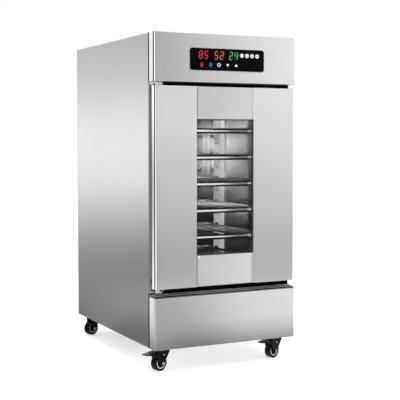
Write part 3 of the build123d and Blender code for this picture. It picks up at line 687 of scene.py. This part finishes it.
def key_signs():
    """A ring on each key, round a power, up, down or light sign."""
    proud, thick = 0.00003, 0.00008
    for k in range(1, 5):
        low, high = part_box(f"key_{k}")
        at = ((low.x + high.x) / 2, low.y - proud, (low.z + high.z) / 2)
        bm = bmesh.new()
        ring(bm, at, X, Z, 0.0056, 0.005, thick, steps=40)
        if k == 1:
            ring(bm, at, X, Z, 0.0031, 0.0023, thick, radians(125), radians(415), 24)
            plate(bm, oblong(-0.0004, 0.0004, 0.001, 0.0038), at, X, Z, thick)
        elif k == 2:
            plate(bm, [(-0.0028, -0.0016), (0.0028, -0.0016), (0, 0.0028)], at, X, Z, thick)
        elif k == 3:
            plate(bm, [(-0.0028, 0.0016), (0.0028, 0.0016), (0, -0.0028)], at, X, Z, thick)
        else:
            for spoke in range(8):
                a = tau * spoke / 8
                way, side = Vector((cos(a), sin(a))), Vector((-sin(a), cos(a))) * 0.00035
                near, far = way * 0.0024, way * 0.0038
                plate(bm, (near - side, far - side, far + side, near + side), at, X, Z, thick)
            ring(bm, at, X, Z, 0.0016, 0.0006, thick, steps=20)
        piece(f"key_{k}_sign", bm, mark_grey, f"key_{k}")


bezel()
displays()
icons()
key_signs()

# --- screws -----------------------------------------------------------------------


def screws(name, places, out, radius, height):
    bm = bmesh.new()
    for at in places:
        dome(bm, at, out, radius, height)
    piece(name, bm, zinc, "cabinet", smooth=True)


rear_low, rear_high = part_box("rear_panel")
margin, end_gap, down_side = 0.012, 0.03, 6
pitch = (rear_high.z - rear_low.z - 2 * end_gap) / (down_side - 1)
rear_face = rear_high.y - 0.0001
places = [
    (x, rear_face, rear_low.z + end_gap + i * pitch)
    for x in (rear_low.x + margin, rear_high.x - margin)
    for i in range(down_side)
]
places += [
    (x, rear_face, z) for x in (-0.12, 0.12) for z in (rear_low.z + margin, rear_high.z - margin)
]
screws("rear_screws", places, Y, 0.0038, 0.0012)

hinge_low, hinge_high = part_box("hinge_brackets")
bracket_face = -0.3104
places = [
    (hinge_low.x + dx, bracket_face, z)
    for dx in (0.027, 0.039)
    for z in (hinge_high.z - 0.0115, hinge_low.z + 0.0115)
]
screws("hinge_screws", places, -Y, 0.0028, 0.0014)

# --- seals, painted shadow strips and sill strips round the door ------------------

frame_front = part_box("front_frame")[0].y
door_low, door_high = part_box("door_hinge_panel")
header_low, header_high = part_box("header_panel")
kick_low, kick_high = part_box("kick_panel")
infill_low, infill_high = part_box("door_infill_panels")
window_low, window_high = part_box("window_frame")


def ribbed_seal(name, z0, z1):
    """Level rubber strip across the front frame, with ribs along its length that face the front."""
    ribs, depth, thick = 3, 0.0008, 0.0035
    front, back = frame_front - thick, frame_front - PROUD
    pitch = (z1 - z0) / ribs
    outline = [(back, z0)]
    for i in range(ribs):
        z = z0 + i * pitch
        outline += [(front + depth, z), (front, z + 0.25 * pitch), (front, z + 0.75 * pitch)]
    outline += [(front + depth, z1), (back, z1)]
    bm = bmesh.new()
    ends = [[bm.verts.new((x, y, z)) for y, z in outline] for x in (-0.201, 0.2494)]
    for end in ends:
        bm.faces.new(end)
    wall(bm, *ends)
    piece(name, bm, seal_and_shadow_black, "cabinet")


ribbed_seal("header_seal", door_high.z + 0.0022, header_low.z - 0.0004)
ribbed_seal("sill_seal", kick_high.z + 0.0005, door_low.z - 0.0022)

# Grey strips over the front of the folds beside the door: painted shade that dulls the bright steel
# fold in the gap.
door_middle = (door_low.z + door_high.z) / 2
for side, lower_half in (
    ("left", [(-0.2494, 0.245), (-0.2473, 0.245), (-0.2473, 0.29), (-0.2405, 0.29)]),
    ("right", [(0.2494, 0.258), (0.2405, 0.258)]),
):
    outline = lower_half + [(x, 2 * door_middle - z) for x, z in reversed(lower_half)]
    bm = bmesh.new()
    plate(bm, outline, (0, header_high.y - PROUD, 0), X, Z, 0.0015)
    piece(f"{side}_jamb_shade_strip", bm, jamb_shade_grey, "cabinet")

# Painted shadow: a dark strip on each infill panel along the hinge stile's step, where the step
# shades it.
bm = bmesh.new()
for z0, z1 in (
    (infill_low.z + 0.003, window_low.z - 0.001),
    (window_high.z + 0.001, infill_high.z - 0.003),
):
    corner = (door_high.x + 0.0001, infill_low.y - PROUD, 0)
    plate(bm, oblong(0, 0.0045, z0, z1), corner, X, Z, 0.0002)
piece("infill_step_shadow", bm, gasket_grey, "door")

# Painted shadow: black strips just above and below each shelf's front rod.
shadow_line_end, shadow_line_near, shadow_line_far = 0.198, 0.0043, 0.0084
bm = bmesh.new()
for number in range(1, 7):
    shelf_low, shelf_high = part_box(f"shelf_{number}")
    origin = (0, shelf_low.y + 0.005, (shelf_low.z + shelf_high.z) / 2)
    for z0, z1 in ((-shadow_line_far, -shadow_line_near), (shadow_line_near, shadow_line_far)):
        plate(bm, oblong(-shadow_line_end, shadow_line_end, z0, z1), origin, X, Z, 0.0006)
piece("shelf_shadow_lines", bm, seal_and_shadow_black, "cabinet")

sill_rise, sill_end = 0.008, 0.246
slope = Vector((0, kick_high.y - kick_low.y, sill_rise))
uphill = slope.normalized()
foot = Vector((0, kick_low.y, kick_high.z - sill_rise)) + X.cross(uphill) * PROUD
# Black grooves on the sloping sill. The last black band, over the rear of the slope, is painted
# shade, and the pale rear strip is a painted lit copy of the grey front strip.
groove_and_shade_bands = ((0.0004, 0.0085), (0.0165, 0.0215), (0.032, slope.length - 0.0005))
for name, material, bands in (
    ("sill_grooves_and_shade", seal_and_shadow_black, groove_and_shade_bands),
    ("sill_front_strip", sill_grey, ((0.0085, 0.0165),)),
    ("sill_rear_strip", sill_painted_lit, ((0.0215, 0.032),)),
):
    bm = bmesh.new()
    for v0, v1 in bands:
        plate(bm, oblong(-sill_end, sill_end, v0, v1), foot, X, uphill, 0.0005)
    piece(name, bm, material, "cabinet")

# Black strips over the seams between the side panels and the header and kick: the seam is real, and
# the black across the strip's width is painted shadow.
seam_shadow_half, seam_shadow_y = 0.0041, header_high.y - 0.001
for side, x, along in (
    ("left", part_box("left_side_panel")[0].x, -Y),
    ("right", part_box("right_side_panel")[1].x, Y),
):
    bm = bmesh.new()
    for low, high in ((kick_low, kick_high), (header_low, header_high)):
        plate(bm, oblong(-seam_shadow_half, seam_shadow_half, low.z, high.z), (x, seam_shadow_y, 0), along, Z, PROUD)
    piece(f"{side}_seam_shadow_line", bm, seal_and_shadow_black, "cabinet")

# --- casters ----------------------------------------------------------------------

CASTER_X, CASTER_Y = 0.204, 0.3065
AXLE_BACK, AXLE_Z = 0.016, 0.025
PIN_BACK, PIN_Z = 0.008, 0.0505
BOLT_OFFSET, PLATE_UNDERSIDE = 0.0185, 0.0696
WHEEL_FACE, AXLE_END, PIN_END = 0.0095, 0.0194, 0.0154  # from the caster's middle
trail = Vector((cos(radians(200)), sin(radians(200)), 0))
axle = Vector((trail.y, -trail.x, 0))
for row, y in (("front", -CASTER_Y), ("rear", CASTER_Y)):
    for side, x in (("left", -CASTER_X), ("right", CASTER_X)):
        swivel = Vector((x, y, 0))
        hub = swivel + trail * AXLE_BACK + Z * AXLE_Z
        pin = swivel + trail * PIN_BACK + Z * PIN_Z
        rings, rivets, bolts = bmesh.new(), bmesh.new(), bmesh.new()
        for sign in (-1, 1):
            out = axle * sign
            across = trail * sign
            face = hub + out * WHEEL_FACE
            ring(rings, face, across, out.cross(across), 0.0175, 0.0145, 0.0006, steps=48)
            dome(rivets, hub + out * AXLE_END, out, 0.0034, 0.0008)
            dome(rivets, pin + out * PIN_END, out, 0.0026, 0.0011)
        for dx in (-BOLT_OFFSET, BOLT_OFFSET):
            for dy in (-BOLT_OFFSET, BOLT_OFFSET):
                at = (x + dx, y + dy, PLATE_UNDERSIDE)
                dome(bolts, at, -Z, 0.0034, 0.0022, steps=6, rings=2)
        spot = f"{row}_{side}"
        piece(f"wheel_ring_{spot}", rings, bright, f"caster_wheel_{spot}")
        piece(f"caster_rivets_{spot}", rivets, bright, f"caster_{spot}", smooth=True)
        piece(f"caster_bolts_{spot}", bolts, zinc, "cabinet")

# --- light ------------------------------------------------------------------------

LEFT_SIDE = [(0.11, 0.9), (0.13, 0.02), (0.28, 0.02), (0.31, 1.0), (0.45, 1.0), (0.48, 0.12)]


def studio(t, place, right_side):
    """The studio round the object, by direction or by place on the floor.

    Gives how far a place is to the front, its tone by the way round (the stops run from the
    back, by the left and the front to the right), its height, its distance and the way round.
    """
    x, y, z = t.axes(place)
    around = t.math("ARCTAN2", x, t.math("MULTIPLY", y, -1.0))
    around = t.math("ADD", t.math("DIVIDE", around, tau), 0.5)
    flat = t.math("SQRT", t.math("ADD", t.math("MULTIPLY", x, x), t.math("MULTIPLY", y, y)))
    forward = t.math("SUBTRACT", 0.5, t.math("MULTIPLY", t.math("DIVIDE", y, flat), 0.5))
    front = t.ramp(forward, [(0.09, 0.0), (0.15, 1.0)])
    return front, t.ramp(around, LEFT_SIDE + right_side), z, flat, around


def light_world():
    """Soft light for dull surfaces, white for the camera, and the studio for polished metal."""
    world = bpy.data.worlds.new("studio")
    bpy.context.scene.world = world
    w = Tree("studio", world)
    w.nodes.clear()
    right_side = [
        (0.53, 0.12), (0.55, 0.12), (0.568, 0.12), (0.582, 0.62), (0.594, 1.02),
        (0.62, 1.25), (0.68, 0.95), (0.75, 0.68), (0.8, 0.74), (0.9, 0.85),
    ]
    place = w.add("TexCoord").outputs["Generated"]
    front, sides, z, _, around = studio(w, place, right_side)
    rise = w.math("ADD", w.math("MULTIPLY", z, 0.5), 0.5)
    behind = w.ramp(
        rise,
        [
            (0.3, 0.5), (0.46, 0.92), (0.485, 1.24), (0.507, 1.24), (0.53, 0.8),
            (0.56, 0.56), (0.6, 1.6), (0.8, 1.1), (0.92, 0.55),
        ],
    )
    ahead = w.ramp(
        rise, [(0.4, 0.55), (0.47, 1.05), (0.51, 1.43), (0.7, 1.2), (0.85, 1.0), (0.93, 0.55)]
    )
    even = w.ramp(
        rise,
        [
            (0.47, 0.2), (0.49, 0.6), (0.5, 0.85), (0.523, 0.85),
            (0.528, 0.3), (0.545, 0.15), (0.56, 0.0),
        ],
    )
    to_right = w.math("GREATER_THAN", around, 0.5)
    sides = w.mix(w.math("MULTIPLY", even, to_right), sides, (0.69, 0.69, 0.69))
    mirrored = w.mix(front, behind, w.mix(1.0, ahead, sides, "MULTIPLY"))

    rays = w.add("LightPath").outputs
    diffuse = rays["Diffuse Depth"]
    bounced = w.math("MINIMUM", w.math("ADD", diffuse, rays["Glossy Depth"]), 1.0)
    through = w.math("MULTIPLY", rays["Is Transmission Ray"], w.math("SUBTRACT", 1.0, bounced))
    plain = w.math("MAXIMUM", rays["Is Camera Ray"], through)
    soft = w.mix(rays["Is Glossy Ray"], (0.85, 0.85, 0.85), mirrored)
    dim = w.mix(w.math("MINIMUM", diffuse, 1.0), (0.9, 0.9, 0.9), (0.15, 0.15, 0.15))
    soft = w.mix(rays["Is Transmission Ray"], soft, dim)
    backdrop = w.add("Background")
    w.link(w.mix(plain, soft, (1, 1, 1)), backdrop.inputs["Color"])
    w.link(backdrop.outputs[0], w.add("OutputWorld").inputs["Surface"])


def softbox(name, at, towards, size, power):
    light = bpy.data.lights.new(name, "AREA")
    light.shape = "RECTANGLE"
    light.size, light.size_y = size
    light.energy = power
    obj = bpy.data.objects.new(name, light)
    obj.location = at
    obj.rotation_mode = "QUATERNION"
    obj.rotation_quaternion = (Vector(towards) - Vector(at)).to_track_quat("-Z", "Y")
    bpy.context.scene.collection.objects.link(obj)
    return obj


light_world()
softbox("overhead", (0, -0.4, 3.4), (0, 0, 0.5), (2.6, 2.6), 30)
for name, at, towards, size, power in (
    ("inside", (-0.12, -0.304, 0.6), (0.15, 0.0, 0.575), (0.1, 0.5), 0.5),
    ("ceiling", (-0.06, -0.03, 0.848), (-0.02, 0.0, 0.5), (0.1, 0.4), 3.0),
    ("low", (-0.16, -0.16, 0.446), (0.19, 0.0, 0.43), (0.1, 0.06), 0.5),
    ("lowest", (-0.16, -0.16, 0.36), (0.19, 0.0, 0.36), (0.1, 0.06), 0.45),
):
    lamp = softbox(name, at, towards, size, power)
    lamp.visible_camera = False
    lamp.visible_transmission = False

# --- floor ------------------------------------------------------------------------


def floor_material():
    """Pale floor that takes the object's shadow; polished metal sees painted floor tones: a painted
    shadow near the object behind it and a painted pool of light in front.
    """
    t = Tree("floor")
    grain = t.noise((1, 1, 1), 1.5, 3.0, 0.5)
    t.set(
        Base_Color=t.mix(grain, (0.8, 0.8, 0.8), (0.82, 0.82, 0.82)),
        Roughness=0.9,
        Specular_IOR_Level=0.1,
    )
    right_side = [
        (0.51, 0.2), (0.52, 0.26), (0.535, 0.55), (0.558, 0.8),
        (0.58, 0.82), (0.61, 0.76), (0.8, 0.76),
    ]
    front, sides, _, flat, _ = studio(t, t.where(), right_side)
    reach = t.math("DIVIDE", flat, 10.0)
    # painted shadow: darker near the object behind it, as polished metal sees the floor
    painted_shadow_behind = t.ramp(reach, [(0.04, 0.13), (0.14, 0.23), (0.3, 0.38), (0.6, 0.78), (0.9, 0.95)])
    # painted pool of light in front of the object, as polished metal sees the floor
    painted_light_ahead = t.ramp(
        reach,
        [
            (0.06, 0.95), (0.12, 1.6), (0.165, 1.5), (0.19, 0.88),
            (0.3, 0.8), (0.6, 1.02), (0.9, 1.2),
        ],
    )
    capped = t.math("ADD", t.math("MULTIPLY", t.math("MINIMUM", sides, 0.9), 0.62), 0.155)
    mirrored = t.mix(front, painted_shadow_behind, t.mix(1.0, painted_light_ahead, capped, "MULTIPLY"))

    rays = t.add("LightPath").outputs
    seen = t.math("MAXIMUM", rays["Is Camera Ray"], rays["Is Transmission Ray"])
    lift = t.add("Emission", Strength=0.55)
    shine = t.add("Emission", Strength=1.0)
    t.link(mirrored, shine.inputs["Color"])
    lifted = t.add("AddShader")
    t.link(t.bsdf.outputs[0], lifted.inputs[0])
    t.link(lift.outputs[0], lifted.inputs[1])
    bare, gate = t.add("MixShader"), t.add("MixShader")
    for node, share, first, second in (
        (bare, seen, t.bsdf, lifted),
        (gate, rays["Is Glossy Ray"], bare, shine),
    ):
        t.link(share, node.inputs[0])
        t.link(first.outputs[0], node.inputs[1])
        t.link(second.outputs[0], node.inputs[2])
    t.link(gate.outputs[0], t.nodes["Material Output"].inputs["Surface"])
    return t.mat


bm = bmesh.new()
bmesh.ops.create_circle(bm, cap_ends=True, radius=9, segments=96)
mesh = bpy.data.meshes.new("floor")
bm.to_mesh(mesh)
bm.free()
mesh.materials.append(floor_material())
ground = bpy.data.objects.new("floor", mesh)
bpy.context.scene.collection.objects.link(ground)

# --- camera -----------------------------------------------------------------------

camera = bpy.data.cameras.new("camera")
camera.lens = 86.49
camera.sensor_width = 36
camera.sensor_fit = "HORIZONTAL"
camera.shift_y = -0.05
camera.clip_end = 60
view = bpy.data.objects.new("camera", camera)
view.location = (-1.4239, -3.0255, 0.7265)
heading, dip = radians(26.42), radians(2.55)
ahead = Vector((sin(heading) * cos(dip), cos(heading) * cos(dip), -sin(dip)))
view.rotation_mode = "QUATERNION"
view.rotation_quaternion = ahead.to_track_quat("-Z", "Y")
bpy.context.scene.collection.objects.link(view)
bpy.context.scene.camera = view
bpy.context.scene.view_settings.view_transform = "Standard"

bpy.context.view_layer.update()
